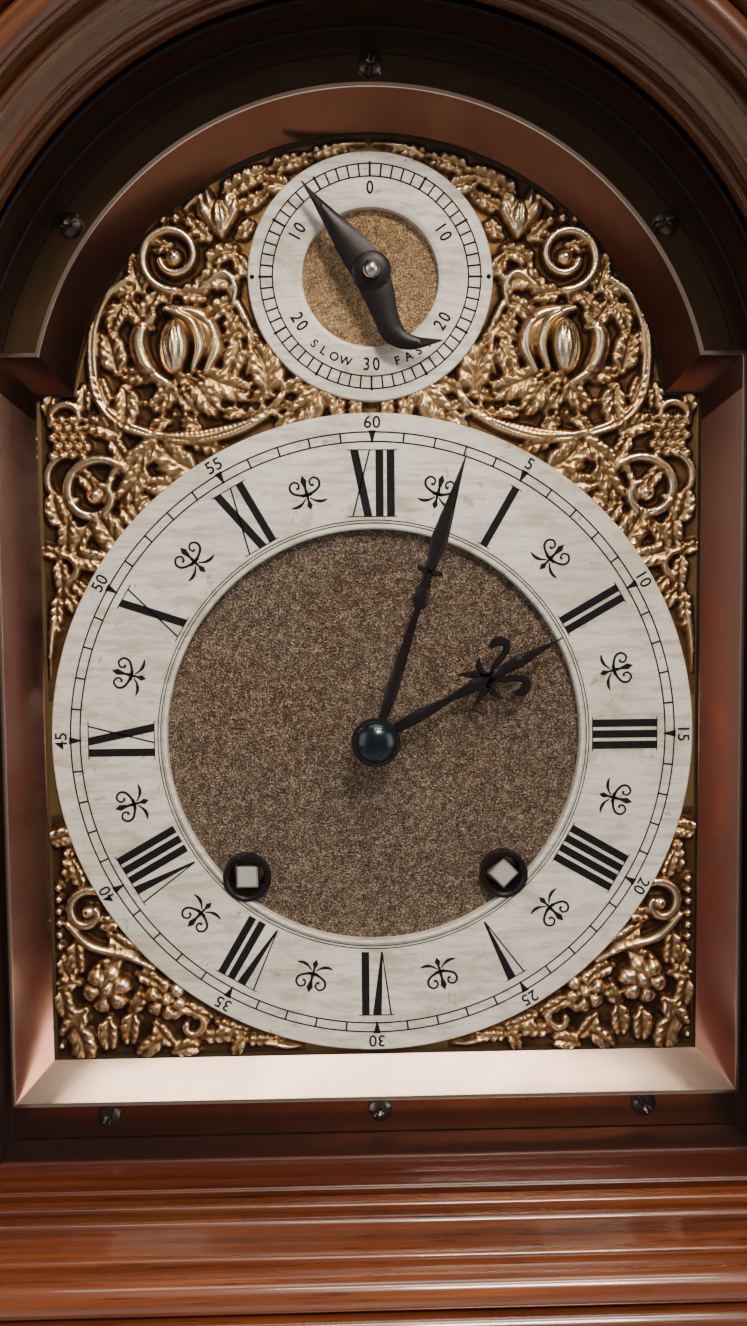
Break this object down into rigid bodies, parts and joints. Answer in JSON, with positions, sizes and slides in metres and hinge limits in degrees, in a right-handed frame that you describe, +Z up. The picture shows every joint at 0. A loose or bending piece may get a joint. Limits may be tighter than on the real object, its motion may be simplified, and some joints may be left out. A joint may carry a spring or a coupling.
{
  "type": "grandfather clock",
  "caption": "Small tall-case clock with a break-arch brass dial, silvered rings, cast spandrels, arched glazed hood door and a glazed trunk door over two weights and a pendulum.",
  "frame": {"origin": "middle of the footprint at floor level", "axes": "+Z up, the dial faces -Y, +X to the right seen from the front"},
  "size_m": [0.326, 0.2, 1.5998],
  "materials": {
    "mahogany": "french-polished red mahogany",
    "back_oak": "plain oiled oak",
    "gilt_brass": "gilt and matted cast brass",
    "mask_brass": "polished brass",
    "silvered": "silvered, brushed and lacquered",
    "blued_steel": "blued steel",
    "steel": "polished steel",
    "brass": "lacquered brass",
    "glass": "clear"
  },
  "bodies": {
    "case": {"bun_feet": "mahogany", "plinth_base": "mahogany", "plinth_walls": "mahogany", "plinth_panel": "mahogany", "plinth_cap": "mahogany", "trunk_front": "mahogany", "trunk_sides": "mahogany", "backboard": "back_oak", "throat_moulding": "mahogany", "seatboard": "back_oak", "movement_plates": "brass", "movement_pillars": "brass", "bell": "brass", "pendulum_cock": "brass", "line_tails": "steel", "dial_plate": "gilt_brass", "dial_mask": "mask_brass", "mask_screws": "blued_steel", "spandrels": "gilt_brass", "chapter_ring": "silvered", "regulator_ring": "silvered", "winding_collets": "blued_steel", "case_hinge_leaves": "brass", "going_line": "steel", "strike_line": "steel"},
    "hood": {"hood_front": "mahogany", "hood_sides": "mahogany", "hood_roof": "mahogany", "hood_base": "mahogany", "hood_columns": "mahogany", "column_mounts": "brass", "hood_cornice": "mahogany", "hood_finial": "brass", "hood_hinge_leaves": "brass"},
    "hood_door": {"hood_door_frame": "mahogany", "hood_door_glass": "glass", "hood_door_fittings": "brass"},
    "trunk_door": {"trunk_door_frame": "mahogany", "trunk_door_glass": "glass", "trunk_door_fittings": "brass"},
    "key": {"trunk_key": "steel"},
    "minute": {"minute_hand": "blued_steel", "centre_arbor": "brass"},
    "hour": {"hour_hand": "blued_steel"},
    "regulator": {"regulator_hand": "blued_steel"},
    "suspension": {"suspension_block": "steel"},
    "pendulum": {"pendulum_rod": "steel", "pendulum_bob": "brass", "rating_nut": "brass"},
    "anchor": {"anchor": "steel"},
    "escape_wheel": {"escape_wheel": "brass"},
    "hammer": {"hammer": "steel"},
    "going_barrel": {"going_barrel": "brass"},
    "strike_barrel": {"strike_barrel": "brass"},
    "going_weight": {"going_weight": "brass"},
    "strike_weight": {"strike_weight": "brass"},
    "going_pulley": {"going_pulley": "brass"},
    "strike_pulley": {"strike_pulley": "brass"}
  },
  "joints": [
    {"name": "hood_slide", "type": "slide", "parent": "case", "child": "hood", "axis": [0, -1, 0], "range_m": [0, 0.2]},
    {"name": "hood_door_hinge", "type": "hinge", "parent": "hood", "child": "hood_door", "pos_m": [-0.132, -0.091, 1.3], "axis": [0, 0, -1], "range_deg": [0, 110]},
    {"name": "trunk_door_hinge", "type": "hinge", "parent": "case", "child": "trunk_door", "pos_m": [-0.0875, -0.0643, 0.724], "axis": [0, 0, -1], "range_deg": [0, 110]},
    {"name": "key_turn", "type": "hinge", "parent": "trunk_door", "child": "key", "pos_m": [0.075, -0.084, 0.724], "axis": [0, 1, 0], "range_deg": [0, 90]},
    {"name": "minute_turn", "type": "hinge", "parent": "case", "child": "minute", "pos_m": [0, -0.045, 1.3], "axis": [0, 1, 0], "continuous": true},
    {"name": "hour_turn", "type": "hinge", "parent": "case", "child": "hour", "pos_m": [0, -0.041, 1.3], "axis": [0, 1, 0], "continuous": true},
    {"name": "suspension_lift", "type": "slide", "parent": "case", "child": "suspension", "axis": [0, 0, 1], "range_m": [-0.0015, 0.0015]},
    {"name": "regulator_turn", "type": "hinge", "parent": "case", "child": "regulator", "pos_m": [0, -0.041, 1.4162], "axis": [0, 1, 0], "range_deg": [-105, 105]},
    {"name": "pendulum_swing", "type": "hinge", "parent": "suspension", "child": "pendulum", "pos_m": [0, 0.06, 1.36], "axis": [0, 1, 0], "range_deg": [-3, 3]},
    {"name": "anchor_rock", "type": "hinge", "parent": "case", "child": "anchor", "pos_m": [0, 0.03, 1.36], "axis": [0, 1, 0], "range_deg": [-3.1, 3.1]},
    {"name": "escape_turn", "type": "hinge", "parent": "case", "child": "escape_wheel", "pos_m": [0, 0.03, 1.33], "axis": [0, 1, 0], "continuous": true},
    {"name": "hammer_lift", "type": "hinge", "parent": "case", "child": "hammer", "pos_m": [0.042, 0.019, 1.345], "axis": [0, 1, 0], "range_deg": [0, 12], "stiffness_Nm_per_rad": 0.05, "springref_deg": -17.19},
    {"name": "going_weight_fall", "type": "slide", "parent": "case", "child": "going_weight", "axis": [0, 0, 1], "range_m": [0, 0.6], "deforming": ["going_line"]},
    {"name": "strike_weight_fall", "type": "slide", "parent": "case", "child": "strike_weight", "axis": [0, 0, 1], "range_m": [0, 0.6], "deforming": ["strike_line"]},
    {"name": "going_barrel_turn", "type": "hinge", "parent": "case", "child": "going_barrel", "pos_m": [0.0334, 0.02, 1.2636], "axis": [0, -1, 0], "continuous": true},
    {"name": "strike_barrel_turn", "type": "hinge", "parent": "case", "child": "strike_barrel", "pos_m": [-0.0334, 0.02, 1.2636], "axis": [0, 1, 0], "continuous": true},
    {"name": "going_pulley_turn", "type": "hinge", "parent": "going_weight", "child": "going_pulley", "pos_m": [0.0432, 0.012, 0.524], "axis": [0, -1, 0], "continuous": true},
    {"name": "strike_pulley_turn", "type": "hinge", "parent": "strike_weight", "child": "strike_pulley", "pos_m": [-0.0432, 0.012, 0.524], "axis": [0, 1, 0], "continuous": true}
  ],
  "couplings": [
    {"joint": "hour_turn", "follows": "minute_turn", "ratio": 0.083333},
    {"joint": "regulator_turn", "follows": "suspension_lift", "rad_per_m": 1200},
    {"joint": "anchor_rock", "follows": "pendulum_swing", "ratio": 1},
    {"joint": "going_barrel_turn", "follows": "going_weight_fall", "rad_per_m": 96.154},
    {"joint": "strike_barrel_turn", "follows": "strike_weight_fall", "rad_per_m": 96.154},
    {"joint": "going_pulley_turn", "follows": "going_weight_fall", "rad_per_m": 90.909},
    {"joint": "strike_pulley_turn", "follows": "strike_weight_fall", "rad_per_m": 90.909}
  ]
}
